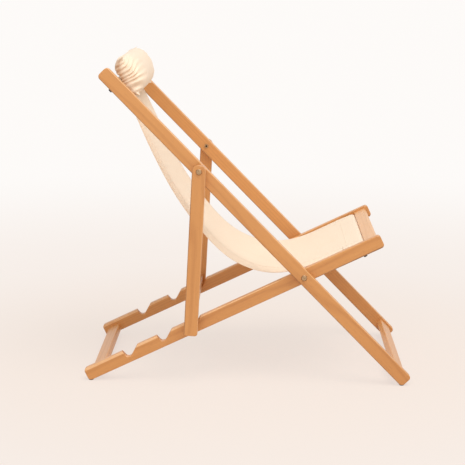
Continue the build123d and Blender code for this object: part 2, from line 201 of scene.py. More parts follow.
class ChairStage(bpy.types.PropertyGroup):
    """The camera and the lights."""

    camera_place: FloatVectorProperty(
        name="Camera place", description="Where the camera stands",
        default=tuple(cross_pivot + Vector((-0.13574, -4.16184, 0.91532))),
        subtype="TRANSLATION", unit="LENGTH")
    camera_pitch: FloatProperty(
        name="Camera pitch", description="How far the camera looks down",
        default=radians(11.375), subtype="ANGLE")
    camera_yaw: FloatProperty(
        name="Camera yaw", description="How far the camera looks aside, towards the front of the chair",
        default=radians(-1.098), subtype="ANGLE")
    camera_roll: FloatProperty(
        name="Camera roll", description="How far the camera leans about its own axis",
        default=radians(0.309), subtype="ANGLE")
    camera_lens: FloatProperty(
        name="Camera lens", description="Focal length, in millimetres, on a 36 mm sensor",
        default=105.56)
    key_strength: FloatProperty(
        name="Key light", description="Power of the soft light from above, in watts",
        default=292.0)
    fill_strength: FloatProperty(
        name="Fill light", description="Power of the soft light from the camera's side, in watts",
        default=15.0)
    sky_strength: FloatProperty(
        name="Sky light", description="Strength of the light from all round",
        default=0.60)
    shadow_share: FloatProperty(
        name="Floor shadow", description="How much of its shadow the floor shows to the camera",
        default=0.25, subtype="FACTOR")


# Shader nodes


def set_inputs(tree, node, inputs):
    """Gives a node's inputs their values, or links them to the sockets that are given."""
    for key, value in inputs.items():
        if isinstance(value, bpy.types.NodeSocket):
            tree.links.new(value, node.inputs[key])
        else:
            node.inputs[key].default_value = value


def add_node(tree, kind, inputs=None, **settings):
    """A node of a tree, with its settings and with values or links for its inputs."""
    made = tree.nodes.new(kind)
    for name, value in settings.items():
        setattr(made, name, value)
    set_inputs(tree, made, inputs or {})
    return made


def maths(tree, operation, first, second=0.0, third=0.0, clamp=False):
    """The result of a sum on one, two or three values."""
    made = add_node(tree, "ShaderNodeMath", {0: first, 1: second, 2: third},
                    operation=operation, use_clamp=clamp)
    return made.outputs[0]


def vectors(tree, operation, first, second=(0, 0, 0)):
    """The result of a sum on vectors."""
    made = add_node(tree, "ShaderNodeVectorMath", {0: first, 1: second}, operation=operation)
    return made.outputs["Value" if operation == "LENGTH" else "Vector"]


def noise_value(tree, vector, scale, detail, roughness=0.5):
    """A soft noise between 0 and 1."""
    made = add_node(tree, "ShaderNodeTexNoise",
                    {"Vector": vector, "Scale": scale, "Detail": detail, "Roughness": roughness})
    return made.outputs["Fac"]


def spread(tree, value, low, high, to_low=0.0, to_high=1.0):
    """A value spread smoothly from one range to another, and held at its ends."""
    made = add_node(tree, "ShaderNodeMapRange",
                    {"Value": value, "From Min": low, "From Max": high,
                     "To Min": to_low, "To Max": to_high},
                    interpolation_type="SMOOTHSTEP")
    return made.outputs["Result"]


def mixed(tree, share, first, second):
    """A mix of two colours."""
    made = add_node(tree, "ShaderNodeMix", {0: share, 6: first, 7: second}, data_type="RGBA")
    return made.outputs[2]


def streaks(tree, vector, scale, detail=2.0, roughness=0.5):
    """A soft noise whose scale differs along each axis."""
    drawn = add_node(tree, "ShaderNodeMapping", {"Vector": vector, "Scale": scale}).outputs[0]
    return noise_value(tree, drawn, 1.0, detail, roughness)


def separated(tree, vector):
    """The X, Y and Z of a vector."""
    return add_node(tree, "ShaderNodeSeparateXYZ", {0: vector}).outputs


def new_group(name, inputs, outputs):
    """An empty shader group with named inputs and outputs, and its two end nodes."""
    group = bpy.data.node_groups.new(name, "ShaderNodeTree")
    for socket_name, kind, value in inputs:
        socket = group.interface.new_socket(socket_name, in_out="INPUT", socket_type=kind)
        if value is not None:
            socket.default_value = value
    for socket_name, kind in outputs:
        group.interface.new_socket(socket_name, in_out="OUTPUT", socket_type=kind)
    entry = group.nodes.new("NodeGroupInput")
    leave = group.nodes.new("NodeGroupOutput")
    return group, entry.outputs, leave.inputs


def finish_group(group, leave, results):
    """Links a group's results to its outputs."""
    for name, socket in results.items():
        group.links.new(socket, leave[name])


# What the group of each finish puts out
SURFACE_OUTPUTS = (
    ("Color", "NodeSocketColor"),
    ("Roughness", "NodeSocketFloat"),
    ("Height", "NodeSocketFloat"),
)

# How often the wood's patterns repeat in a metre, along the grain and twice across it
DRIFT_SCALE = (1.6, 9.0, 9.0)
CLOUD_SCALE = (2.2, 14.0, 14.0)
FIBRE_SCALE = (7.0, 330.0, 330.0)
PORE_SCALE = (55.0, 900.0, 900.0)
# From the tree's heart to the middle of a piece, and the half rings in a metre from there
HEART_OFFSET = (0, 0.035, 0.110)
HALF_RINGS = 260.0
# How far the rings wander, in half rings
RING_DRIFT = 7.0
# How much darker each pattern makes the wood
FIBRE_SHADE = 0.5
RING_SHADE = 0.26
PORE_SHADE = 0.38
CLOUD_SHADE = 0.55
END_SHADE = 0.45


def grain_group():
    """Growth rings, fibres and pores of a hardwood, along X of its coordinates."""
    group, given, leave = new_group(
        "wood_grain",
        [("Vector", "NodeSocketVector", None), ("End", "NodeSocketFloat", 0.0),
         ("Light", "NodeSocketColor", None), ("Dark", "NodeSocketColor", None)],
        SURFACE_OUTPUTS)
    place = given["Vector"]
    heart = vectors(group, "ADD", vectors(group, "MULTIPLY", place, (0, 1, 1)), HEART_OFFSET)
    radius = maths(group, "MULTIPLY", vectors(group, "LENGTH", heart), HALF_RINGS)
    phase = maths(group, "MULTIPLY_ADD", streaks(group, place, DRIFT_SCALE), RING_DRIFT, radius)
    late = spread(group, maths(group, "PINGPONG", phase, 1.0), 0.55, 1.0)
    fibre = streaks(group, place, FIBRE_SCALE, 4.0, 0.6)
    pore = spread(group, streaks(group, place, PORE_SCALE), 0.62, 0.74)
    cloud = maths(group, "SUBTRACT", streaks(group, place, CLOUD_SCALE), 0.5)
    darkness = maths(group, "MULTIPLY", fibre, FIBRE_SHADE)
    for pattern, shade in ((late, RING_SHADE), (pore, PORE_SHADE), (cloud, CLOUD_SHADE)):
        darkness = maths(group, "MULTIPLY_ADD", pattern, shade, darkness)
    darkness = maths(group, "MULTIPLY_ADD", given["End"], END_SHADE, darkness, clamp=True)
    finish_group(group, leave, {
        "Color": mixed(group, darkness, given["Light"], given["Dark"]),
        "Roughness": maths(group, "MULTIPLY_ADD", darkness, 0.16, 0.40),
        "Height": maths(group, "MULTIPLY_ADD", pore, -0.8, maths(group, "MULTIPLY", fibre, 0.5)),
    })
    return group


def edge_wear_and_shade_group():
    """Masks of a bar's upper long edges, rubbed pale and painted as lit highlights, and of its lower ones,
    where shade is painted dark.
    """
    group, given, leave = new_group(
        "edge_wear_and_painted_light",
        [("Vector", "NodeSocketVector", None), ("Half Thickness", "NodeSocketFloat", 0.01),
         ("Half Depth", "NodeSocketFloat", 0.02), ("Width", "NodeSocketFloat", 0.0032)],
        [("Upper", "NodeSocketFloat"), ("Lower", "NodeSocketFloat")])
    parts = separated(group, given["Vector"])
    inset = maths(group, "SUBTRACT", given["Half Thickness"], given["Width"])
    side = spread(group, maths(group, "ABSOLUTE", parts["Y"]), inset, given["Half Thickness"])
    rub = streaks(group, given["Vector"], (18.0, 60.0, 60.0), 3.0)
    wear_and_painted_light = maths(group, "MULTIPLY", side, spread(group, rub, 0.25, 0.60, 0.45, 1.0))
    inset = maths(group, "SUBTRACT", given["Half Depth"], given["Width"])
    results = {}
    # Upper is painted highlight mixed with wear; Lower is painted shade along the lower edges
    for name, way in (("Upper", 1.0), ("Lower", -1.0)):
        rise = maths(group, "MULTIPLY", parts["Z"], way)
        results[name] = maths(group, "MULTIPLY", wear_and_painted_light, spread(group, rise, inset, given["Half Depth"]))
    finish_group(group, leave, results)
    return group


# How much paler the canvas is everywhere, on thick yarns, on the crowns of the weave, in clouds
# and at its flecks, which are dark
BASE_TONE = 0.18
SLUB_TONE = 0.30
CROWN_TONE = 0.45
CLOUD_TONE = 0.25
FLECK_TONE = -0.5


def weave_group():
    """A plain weave on coordinates in metres along and across the cloth."""
    group, given, leave = new_group(
        "canvas_weave",
        [("Vector", "NodeSocketVector", None), ("Pitch", "NodeSocketFloat", 0.0009),
         ("Yarn", "NodeSocketColor", None), ("Gap", "NodeSocketColor", None)],
        SURFACE_OUTPUTS)
    place = given["Vector"]
    parts = separated(group, place)
    counts = [maths(group, "DIVIDE", parts[axis], given["Pitch"]) for axis in "XY"]
    yarns = []
    for own, other, shift in ((0, 1, 0.0), (1, 0, 1.0)):
        crown = spread(group, maths(group, "PINGPONG", counts[own], 0.5), 0.0, 0.42)
        turn = maths(group, "ADD", counts[other], maths(group, "FLOOR", counts[own]))
        lift = maths(group, "COSINE", maths(group, "MULTIPLY", maths(group, "ADD", turn, shift), pi))
        over = maths(group, "MULTIPLY_ADD", lift, 0.5, 0.5)
        yarns.append(maths(group, "MULTIPLY", crown, over))
    relief = maths(group, "MAXIMUM", yarns[0], yarns[1])
    slubs = [streaks(group, place, scale) for scale in ((18.0, 700.0, 1.0), (700.0, 18.0, 1.0))]
    slub = maths(group, "MULTIPLY_ADD", slubs[0], 0.5, maths(group, "MULTIPLY", slubs[1], 0.5))
    cloud = noise_value(group, place, 9.0, 3.0)
    fleck = spread(group, noise_value(group, place, 420.0, 1.0), 0.74, 0.80)
    tone = maths(group, "MULTIPLY_ADD", spread(group, slub, 0.36, 0.64), SLUB_TONE,
                 maths(group, "MULTIPLY", relief, CROWN_TONE))
    tone = maths(group, "MULTIPLY_ADD", cloud, CLOUD_TONE, tone)
    tone = maths(group, "MULTIPLY_ADD", fleck, FLECK_TONE, maths(group, "ADD", tone, BASE_TONE), clamp=True)
    finish_group(group, leave, {
        "Color": mixed(group, tone, given["Gap"], given["Yarn"]),
        "Roughness": maths(group, "MULTIPLY_ADD", tone, -0.10, 0.92),
        "Height": maths(group, "MULTIPLY_ADD", slub, 0.5, relief),
    })
    return group


GRIME = (0.06, 0.045, 0.035, 1)
SCUFFED_PLASTIC = (0.16, 0.14, 0.13, 1)


def worn_metal_group():
    """Dull metal: cloudy tone, fine scratches and a little grime."""
    group, given, leave = new_group(
        "worn_metal",
        [("Vector", "NodeSocketVector", None), ("Metal", "NodeSocketColor", None)],
        SURFACE_OUTPUTS)
    grime = spread(group, noise_value(group, given["Vector"], 260.0, 3.0), 0.45, 0.75)
    finish_group(group, leave, {
        "Color": mixed(group, maths(group, "MULTIPLY", grime, 0.6), given["Metal"], GRIME),
        "Roughness": maths(group, "MULTIPLY_ADD", grime, 0.25, 0.34),
        "Height": streaks(group, given["Vector"], (300.0, 300.0, 4000.0)),
    })
    return group


def moulded_group():
    """Moulded plastic: a fine grain, and scuffs that are greyer and rougher."""
    group, given, leave = new_group(
        "moulded_plastic",
        [("Vector", "NodeSocketVector", None), ("Plastic", "NodeSocketColor", None)],
        SURFACE_OUTPUTS)
    scuff = spread(group, noise_value(group, given["Vector"], 190.0, 3.0), 0.52, 0.70)
    finish_group(group, leave, {
        "Color": mixed(group, maths(group, "MULTIPLY", scuff, 0.35), given["Plastic"], SCUFFED_PLASTIC),
        "Roughness": maths(group, "MULTIPLY_ADD", scuff, 0.2, 0.5),
        "Height": noise_value(group, given["Vector"], 2600.0, 2.0),
    })
    return group


def group_node(tree, name, builder, inputs):
    """A node of a shader group, which is built the first time that it is asked for."""
    group = bpy.data.node_groups.get(name) or builder()
    return add_node(tree, "ShaderNodeGroup", inputs, node_tree=group)


def colour_of(values):
    """A colour property as a socket's value."""
    return (*values, 1.0)


def start_material(name):
    """A new material, its tree and its Principled shader."""
    material = bpy.data.materials.new(name)
    material.use_nodes = True
    tree = material.node_tree
    shader = next(n for n in tree.nodes if n.type == "BSDF_PRINCIPLED")
    return material, tree, shader


def finish_surface(tree, shader, colour, pattern, depth, values):
    """Feeds a colour and a pattern's roughness and height to the shader, and sets its own values."""
    bump = add_node(tree, "ShaderNodeBump",
                    {"Height": pattern.outputs["Height"], "Strength": 1.0, "Distance": depth})
    set_inputs(tree, shader, {
        "Base Color": colour,
        "Roughness": pattern.outputs["Roughness"],
        "Normal": bump.outputs["Normal"],
        **values,
    })


def laid_along(tree, vector, place, turn):
    """Coordinates of a member that stands at place, with X along it once turned by turn."""
    inputs = {"Vector": vector, "Location": place, "Rotation": turn}
    return add_node(tree, "ShaderNodeMapping", inputs, vector_type="TEXTURE").outputs[0]


def on_left_side(tree, vector):
    """Coordinates with the chair's right half laid on its left one, so one mask fits both rails."""
    side = separated(tree, vectors(tree, "ABSOLUTE", vector))["Y"]
    lifted = add_node(tree, "ShaderNodeCombineXYZ", {"Y": side}).outputs[0]
    return vectors(tree, "ADD", vectors(tree, "MULTIPLY", vector, (1, 0, 1)), lifted)


# Pale rubbed colour that also paints highlights on upper edges, and painted shade for lower edges
RUBBED_AND_HIGHLIT_WOOD = (0.95, 0.62, 0.34, 1)
PAINTED_EDGE_SHADE = (0.22, 0.09, 0.03, 1)
# How strongly the painted highlight and the painted shade cover the wood along its edges
RUBBED_AND_HIGHLIGHT_SHARE = 0.70
EDGE_SHADE_SHARE = 0.90
WOOD_RELIEF = 0.00022


def wood_material(name, place, turn, half_thickness, half_depth, mirrored, painted_light_share=0.0):
    """Oiled hardwood whose grain runs along a member that stands at place, turned by turn, with painted
    highlights on its upper edges and painted shade on its lower ones.
    """
    colours = bpy.context.scene.chair_colours
    material, tree, shader = start_material(name)
    source = add_node(tree, "ShaderNodeTexCoord").outputs
    facing = laid_along(tree, source["Normal"], (0, 0, 0), turn)
    along = separated(tree, vectors(tree, "ABSOLUTE", facing))["X"]
    grain = group_node(tree, "wood_grain", grain_group, {
        "Vector": laid_along(tree, source["Object"], place, turn),
        "End": spread(tree, along, 0.6, 0.95),
        "Light": colour_of(colours.wood_light),
        "Dark": colour_of(colours.wood_dark),
    })
    edge_source = on_left_side(tree, source["Object"]) if mirrored else source["Object"]
    wear = group_node(tree, "edge_wear_and_painted_light", edge_wear_and_shade_group, {
        "Vector": laid_along(tree, edge_source, place, turn),
        "Half Thickness": half_thickness,
        "Half Depth": half_depth,
    })
    # Painted highlight on the upper edges, partly wear, over painted light that paler bars get all over
    wear_and_painted_light = spread(tree, wear.outputs["Upper"], 0.0, 1.0, painted_light_share, RUBBED_AND_HIGHLIGHT_SHARE)
    rubbed_and_highlit = mixed(tree, wear_and_painted_light, grain.outputs["Color"], RUBBED_AND_HIGHLIT_WOOD)
    # Painted shade along the lower edges
    edge_shade = maths(tree, "MULTIPLY", wear.outputs["Lower"], EDGE_SHADE_SHARE)
    edge_shaded = mixed(tree, edge_shade, rubbed_and_highlit, PAINTED_EDGE_SHADE)
    finish_surface(tree, shader, edge_shaded, grain, WOOD_RELIEF,
                   {"Coat Weight": 0.35, "Coat Roughness": 0.30})
    return material


# How strongly the painted shade of the folds covers the canvas in the deepest gathers
FOLD_SHADE_SHARE = 0.85
WEAVE_RELIEF = 0.00010


def canvas_material(name):
    """Cream canvas on the piece's own map, which is in metres, with painted shade where the piece's fold
    attribute says.
    """
    colours = bpy.context.scene.chair_colours
    sizes = bpy.context.scene.chair_sizes
    material, tree, shader = start_material(name)
    weave = group_node(tree, "canvas_weave", weave_group, {
        "Vector": add_node(tree, "ShaderNodeUVMap", uv_map="cloth").outputs["UV"],
        "Pitch": sizes.weave_pitch,
        "Yarn": colour_of(colours.canvas),
        "Gap": colour_of(colours.canvas_shade),
    })
    # The fold attribute paints shade into the gathers
    fold = add_node(tree, "ShaderNodeAttribute", attribute_name="fold").outputs["Fac"]
    shaded = mixed(tree, maths(tree, "MULTIPLY", fold, FOLD_SHADE_SHARE),
                   weave.outputs["Color"], colour_of(colours.canvas_fold_shade))
    finish_surface(tree, shader, shaded, weave, WEAVE_RELIEF,
                   {"Sheen Weight": 0.25, "Sheen Roughness": 0.5, "Specular IOR Level": 0.25})
    return material


def thread_material():
    """Twisted sewing thread, the same in every seam."""
    if "sewing_thread" in bpy.data.materials:
        return bpy.data.materials["sewing_thread"]
    colours = bpy.context.scene.chair_colours
    material, tree, shader = start_material("sewing_thread")
    source = add_node(tree, "ShaderNodeTexCoord").outputs["Object"]
    twist = add_node(tree, "ShaderNodeTexWave",
                     {"Vector": source, "Scale": 900.0, "Distortion": 1.0},
                     wave_type="BANDS", bands_direction="DIAGONAL")
    shade = tuple(0.7 * part for part in colours.thread)
    tone = mixed(tree, twist.outputs["Fac"], colour_of(shade), colour_of(colours.thread))
    set_inputs(tree, shader, {"Base Color": tone, "Roughness": 0.75})
    return material


STEEL_RELIEF = 0.00004
PLASTIC_RELIEF = 0.00008


def steel_material(name, colour, metallic=1.0):
    """Worn metal in one colour."""
    material, tree, shader = start_material(name)
    source = add_node(tree, "ShaderNodeTexCoord").outputs["Object"]
    metal = group_node(tree, "worn_metal", worn_metal_group,
                       {"Vector": source, "Metal": colour_of(colour)})
    finish_surface(tree, shader, metal.outputs["Color"], metal, STEEL_RELIEF, {"Metallic": metallic})
    return material


def plastic_material(name, colour):
    """Moulded plastic in one colour."""
    material, tree, shader = start_material(name)
    source = add_node(tree, "ShaderNodeTexCoord").outputs["Object"]
    plastic = group_node(tree, "moulded_plastic", moulded_group,
                         {"Vector": source, "Plastic": colour_of(colour)})
    finish_surface(tree, shader, plastic.outputs["Color"], plastic, PLASTIC_RELIEF, {})
    return material


def paint_bolt_end_shade(material, inner_face, colour):
    """Paints a bolt's end, where it stands out of its rail into the nut, black as painted shade in the
    nut's recess.
    """
    tree = material.node_tree
    shader = next(n for n in tree.nodes if n.type == "BSDF_PRINCIPLED")
    source = next(n for n in tree.nodes if n.type == "TEX_COORD")
    side = separated(tree, vectors(tree, "ABSOLUTE", source.outputs["Object"]))["Y"]
    end = spread(tree, side, inner_face - 0.0002, inner_face, 1.0, 0.0)
    plain = shader.inputs["Base Color"].links[0].from_socket
    tree.links.new(mixed(tree, end, plain, colour_of(colour)), shader.inputs["Base Color"])


def dress(node, material):
    """Gives a frame node its finish."""
    piece = frame["nodes"][node]
    for slot in piece.material_slots:
        slot.material = material
    if not piece.material_slots:
        piece.data.materials.append(material)


# Meshes


def mesh_object(name, points, faces, material):
    """A new object from points and faces, linked to the scene."""
    mesh = bpy.data.meshes.new(name)
    mesh.from_pydata([tuple(p) for p in points], [], faces)
    mesh.update()
    made = bpy.data.objects.new(name, mesh)
    bpy.context.scene.collection.objects.link(made)
    mesh.materials.append(material)
    return made


def map_cloth(piece, places):
    """Gives a piece its map of the cut cloth, in metres, from a place for each of its points."""
    layer = piece.data.uv_layers.new(name="cloth")
    for loop in piece.data.loops:
        layer.data[loop.index].uv = places[loop.vertex_index]


def plain_mesh(piece):
    """Replaces a piece's mesh by the evaluated one and takes its modifiers off."""
    graph = bpy.context.evaluated_depsgraph_get()
    baked = bpy.data.meshes.new_from_object(piece.evaluated_get(graph))
    old = piece.data
    piece.modifiers.clear()
    piece.data = baked
    baked.name = piece.name
    bpy.data.meshes.remove(old)


def smooth_all(piece):
    """Shades every face smooth."""
    piece.data.polygons.foreach_set("use_smooth", [True] * len(piece.data.polygons))
    piece.data.update()


# The sling's run, seen from the side


chord = (front_dowel - top_dowel).normalized()
span = (front_dowel - top_dowel).length
behind = Vector((chord.z, 0, -chord.x))

# How steeply the sling leaves the top dowel and comes up to the front one, from the line between
TOP_DEPARTURE = radians(30.0)
FRONT_ARRIVAL = radians(57.0)
# Points of the run, as shares of the distance between the dowels: along the line from
# the top dowel to the front one, then square to it, down and back.
RUN_SHARES = (
    (0.20, 0.101), (0.36, 0.190), (0.52, 0.250), (0.66, 0.273), (0.79, 0.238), (0.88, 0.155),
)
# How much the hems curl back at those points and at the top seam, as shares of the full curl
CURL_SHARES = (0.8, 0.9, 1.0, 1.0, 0.9, 0.5)
TOP_SEAM_CURL = 0.35
# Distance between the points along the run
RUN_STEP = 0.006
# How far apart two folded layers lie, as a share of the cloth's thickness
LAYER_SHARE = 1.15
# Parts across the cloth: in each hem, round each fold, and in between
HEM_PARTS = 6
FOLD_PARTS = 5
FLAT_PARTS = 54
# Over how many rows the waves of the hung cloth die away towards its seams
CALM_ROWS = 12
# Waves of the hung cloth in a metre along and across it, and the slice of the noise they come from
LONG_WAVES = (2.2, 5.0, 0.3)
SHORT_WAVES = (9.0, 13.0, 4.1)
SHORT_WAVE_SHARE = 0.35
# How far inside the cloth's edges the stitches run
STITCH_INSET = 0.003
# How many rows of the run the hems' stitches go on over the top sleeve and the front one
STITCHES_OVER_SLEEVES = (8, 7)
# Points of a line of stitches across the cloth
SEAM_POINTS = 90


def heading(angle):
    """A direction turned from the line between the dowels, down and back."""
    return chord * cos(angle) + behind * sin(angle)


def sitter_side(direction):
    """Square to a direction of the sling, towards the sitter."""
    return Vector((-direction.z, 0, direction.x))


def spline_points(points, first_slope, last_slope, step):
    """A smooth curve through points with given directions at its ends, sampled evenly."""
    points = np.array([list(p) for p in points])
    lengths = np.linalg.norm(np.diff(points, axis=0), axis=1)
    knots = np.concatenate([[0.0], np.cumsum(lengths)])
    count = len(points)
    system = np.zeros((count, count))
    right = np.zeros((count, 3))
    system[0, 0] = system[-1, -1] = 1.0
    right[0], right[-1] = np.array(first_slope), np.array(last_slope)
    for i in range(1, count - 1):
        before, after = lengths[i - 1], lengths[i]
        system[i, i - 1 : i + 2] = after, 2 * (before + after), before
        rise_before = (points[i] - points[i - 1]) / before
        rise_after = (points[i + 1] - points[i]) / after
        right[i] = 3 * (after * rise_before + before * rise_after)
    slopes = np.linalg.solve(system, right)
    made = []
    for i, long in enumerate(lengths):
        parts = max(2, ceil(long / step))
        for j in range(parts):
            t = j / parts
            made.append(
                (1 + 2 * t) * (1 - t) ** 2 * points[i]
                + t * (1 - t) ** 2 * long * slopes[i]
                + t * t * (3 - 2 * t) * points[i + 1]
                + t * t * (t - 1) * long * slopes[i + 1])
    made.append(points[-1])
    return made, knots


def arc_points(centre, first, last, by_way_of, step):
    """Points on a circle from one point to another, on the side of a third direction."""
    start = atan2(first.z - centre.z, first.x - centre.x)
    end = atan2(last.z - centre.z, last.x - centre.x)
    radius = (first - centre).length
    if end < start:
        end += 2 * pi
    middle = (start + end) / 2
    if Vector((cos(middle), 0, sin(middle))).dot(by_way_of) < 0:
        end -= 2 * pi
    parts = ceil(abs(end - start) * radius / step)
    angles = [start + (end - start) * i / parts for i in range(parts + 1)]
    return [centre + Vector((cos(a), 0, sin(a))) * radius for a in angles]


def straight_points(first, last, step):
    """Points on a straight line, with its first end and without its last."""
    parts = max(1, ceil((last - first).length / step))
    return [first.lerp(last, i / parts) for i in range(parts)]


def sleeve_points(centre, radius, direction, reach, sizes):
    """The sleeve round a dowel, from the end of its flap to the seam on the sling's run."""
    side = sitter_side(direction)
    touch = centre + side * radius
    seam = touch + direction * reach
    axis = (seam - centre).normalized()
    other = centre + axis * (2 * (touch - centre).dot(axis)) - (touch - centre)
    away = direction * (1 if reach > 0 else -1)
    fold = seam - side * (sizes.cloth_thickness * LAYER_SHARE)
    flap_end = fold + away * sizes.flap_length
    points = straight_points(flap_end, fold, RUN_STEP)
    points += straight_points(fold, other, RUN_STEP)
    points += arc_points(centre, other, touch, -axis, RUN_STEP / 2)[:-1]
    points += straight_points(touch, seam, RUN_STEP)
    return points, seam


class SlingRun:
    """The sling's path from one flap end to the other, with marks along it."""

    def __init__(self, sizes):
        half_cloth = sizes.cloth_thickness / 2
        top_way = heading(TOP_DEPARTURE)
        front_way = heading(-FRONT_ARRIVAL)
        top, top_seam = sleeve_points(
            top_dowel, top_dowel_radius + sizes.top_clearance + half_cloth,
            top_way, sizes.top_seam_reach, sizes)
        front, front_seam = sleeve_points(
            front_dowel, front_dowel_radius + sizes.front_clearance + half_cloth,
            front_way, -sizes.front_seam_reach, sizes)
        inner = [top_dowel + chord * (a * span) + behind * (b * span) for a, b in RUN_SHARES]
        main, knots = spline_points([top_seam, *inner, front_seam], top_way, front_way, RUN_STEP)
        path = [*top, *map(Vector, main[:-1]), front_seam, *reversed(front)]
        self.points = np.array([list(p) for p in path])
        self.marks = (len(top), len(top) + len(main) - 1)
        steps = np.linalg.norm(np.diff(self.points, axis=0), axis=1)
        self.lengths = np.concatenate([[0.0], np.cumsum(steps)])
        ways = np.gradient(self.points, self.lengths, axis=0)
        ways /= np.linalg.norm(ways, axis=1)[:, None]
        self.normals = np.stack([-ways[:, 2], np.zeros(len(ways)), ways[:, 0]], axis=1)
        start, end = (self.lengths[mark] for mark in self.marks)
        places = start + (end - start) * knots / knots[-1]
        hung = np.interp(self.lengths, places, [TOP_SEAM_CURL, *CURL_SHARES, 0.0])
        sleeve = start - sizes.top_seam_reach
        rising = np.clip((self.lengths - sleeve) / (start - sleeve), 0, 1)
        self.curls = np.where(self.lengths < start, TOP_SEAM_CURL * rising, hung)


def ripple_at(along, across, height):
    """Soft waves of the hung cloth: long ones down the run, and a little unevenness."""
    long_wave, short_wave = (
        noise.noise(Vector((along * down_rate, across * cross_rate, layer)))
        for down_rate, cross_rate, layer in (LONG_WAVES, SHORT_WAVES))
    return height * (long_wave + SHORT_WAVE_SHARE * short_wave)


def sling_columns(sizes):
    """Places across the cloth, as y and depth behind the front layer, and widths on the cut cloth."""
    half, hem = sling_half_width, sizes.hem_width
    layer = sizes.cloth_thickness * LAYER_SHARE
    radius = layer / 2
    edge = [(-half + hem - (hem - radius) * i / HEM_PARTS, layer) for i in range(HEM_PARTS)]
    for i in range(FOLD_PARTS + 1):
        turn = pi * i / FOLD_PARTS
        edge.append((-half + radius - radius * sin(turn), radius + radius * cos(turn)))
    flat = half - radius
    middle = [(-flat + 2 * flat * (i / FLAT_PARTS), 0.0) for i in range(1, FLAT_PARTS)]
    places = np.array([*edge, *middle, *((-y, depth) for y, depth in reversed(edge))])
    steps = np.linalg.norm(np.diff(places, axis=0), axis=1)
    return places, np.concatenate([[0.0], np.cumsum(steps)])


def curl_across(y, sizes):
    """How far the cloth has curled back at a distance from its middle, from 0 to 1."""
    start = sling_half_width - sizes.hem_width
    share = np.clip((np.abs(y) - start) / sizes.hem_width, 0, 1)
    return share**1.25


def sling_point(run, row, y, depth, sizes):
    """A point of the sling's middle surface."""
    back = depth + sizes.hem_curl * run.curls[row] * curl_across(y, sizes)
    easing = min(row - run.marks[0], run.marks[1] - row) / CALM_ROWS
    wave = ripple_at(run.lengths[row], y, sizes.ripple) * max(0.0, min(1.0, easing))
    point = run.points[row] + run.normals[row] * (wave - back)
    return Vector((point[0], y, point[2]))


def grid_faces(rows, columns):
    """Quads of a grid whose points go row by row."""
    faces = []
    for i in range(rows - 1):
        for j in range(columns - 1):
            first = i * columns + j
            faces.append((first, first + 1, first + columns + 1, first + columns))
    return faces


def hang_on_frames(piece):
    """Bakes the piece's place into its mesh."""
    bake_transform(piece)


# Stitches


def stitch_tree():
    """Stitches of one length laid at one pitch along every edge of a mesh."""
    tree = bpy.data.node_groups.new("stitch_rows", "GeometryNodeTree")
    sockets = (("Geometry", "NodeSocketGeometry"), ("Stitch Length", "NodeSocketFloat"),
               ("Stitch Pitch", "NodeSocketFloat"), ("Thread Radius", "NodeSocketFloat"),
               ("Thread", "NodeSocketMaterial"))
    for name, kind in sockets:
        tree.interface.new_socket(name, in_out="INPUT", socket_type=kind)
    tree.interface.new_socket("Geometry", in_out="OUTPUT", socket_type="NodeSocketGeometry")
    given = tree.nodes.new("NodeGroupInput").outputs
    leave = tree.nodes.new("NodeGroupOutput")
    curve = add_node(tree, "GeometryNodeMeshToCurve", {0: given["Geometry"]})
    spaced = add_node(tree, "GeometryNodeResampleCurve",
                      {"Curve": curve.outputs[0], "Length": given["Stitch Pitch"]}, mode="LENGTH")
    tangent = add_node(tree, "GeometryNodeInputTangent")
    turned = add_node(tree, "FunctionNodeAlignRotationToVector",
                      {"Vector": tangent.outputs[0]}, axis="X")
    ball = add_node(tree, "GeometryNodeMeshUVSphere", {"Segments": 6, "Rings": 4, "Radius": 1.0})
    half = maths(tree, "MULTIPLY", given["Stitch Length"], 0.5)
    size = add_node(tree, "ShaderNodeCombineXYZ",
                    {"X": half, "Y": given["Thread Radius"], "Z": given["Thread Radius"]})
    stitch = add_node(tree, "GeometryNodeTransform",
                      {"Geometry": ball.outputs["Mesh"], "Scale": size.outputs[0]})
    laid = add_node(tree, "GeometryNodeInstanceOnPoints",
                    {"Points": spaced.outputs[0], "Instance": stitch.outputs[0],
                     "Rotation": turned.outputs[0]})
    real = add_node(tree, "GeometryNodeRealizeInstances", {0: laid.outputs[0]})
    finished = add_node(tree, "GeometryNodeSetMaterial",
                        {"Geometry": real.outputs[0], "Material": given["Thread"]})
    tree.links.new(finished.outputs[0], leave.inputs[0])
    return tree


def sewn(name, lines):
    """A piece of stitches along lines of points."""
    sizes = bpy.context.scene.chair_sizes
    points, edges = [], []
    for line in lines:
        first = len(points)
        points += [tuple(p) for p in line]
        edges += [(i, i + 1) for i in range(first, len(points) - 1)]
    mesh = bpy.data.meshes.new(name)
    mesh.from_pydata(points, edges, [])
    piece = bpy.data.objects.new(name, mesh)
    bpy.context.scene.collection.objects.link(piece)
    tree = bpy.data.node_groups.get("stitch_rows") or stitch_tree()
    modifier = piece.modifiers.new("Stitches", "NODES")
    modifier.node_group = tree
    values = {
        "Stitch Length": sizes.stitch_length,
        "Stitch Pitch": sizes.stitch_pitch,
        "Thread Radius": sizes.thread_radius,
        "Thread": thread_material(),
    }
    for item in tree.interface.items_tree:
        if item.name in values:
            modifier[item.identifier] = values[item.name]
    plain_mesh(piece)
    smooth_all(piece)
    return piece


# Operators


def rail_turn(direction):
    """The turn that lays X along a direction in the chair's side plane."""
    return (0.0, atan2(-direction.z, direction.x), 0.0)


def bar_turn(direction):
    """The turn that lays X across the chair, with the section set along a direction."""
    return (atan2(direction.z, direction.x), 0.0, pi / 2)


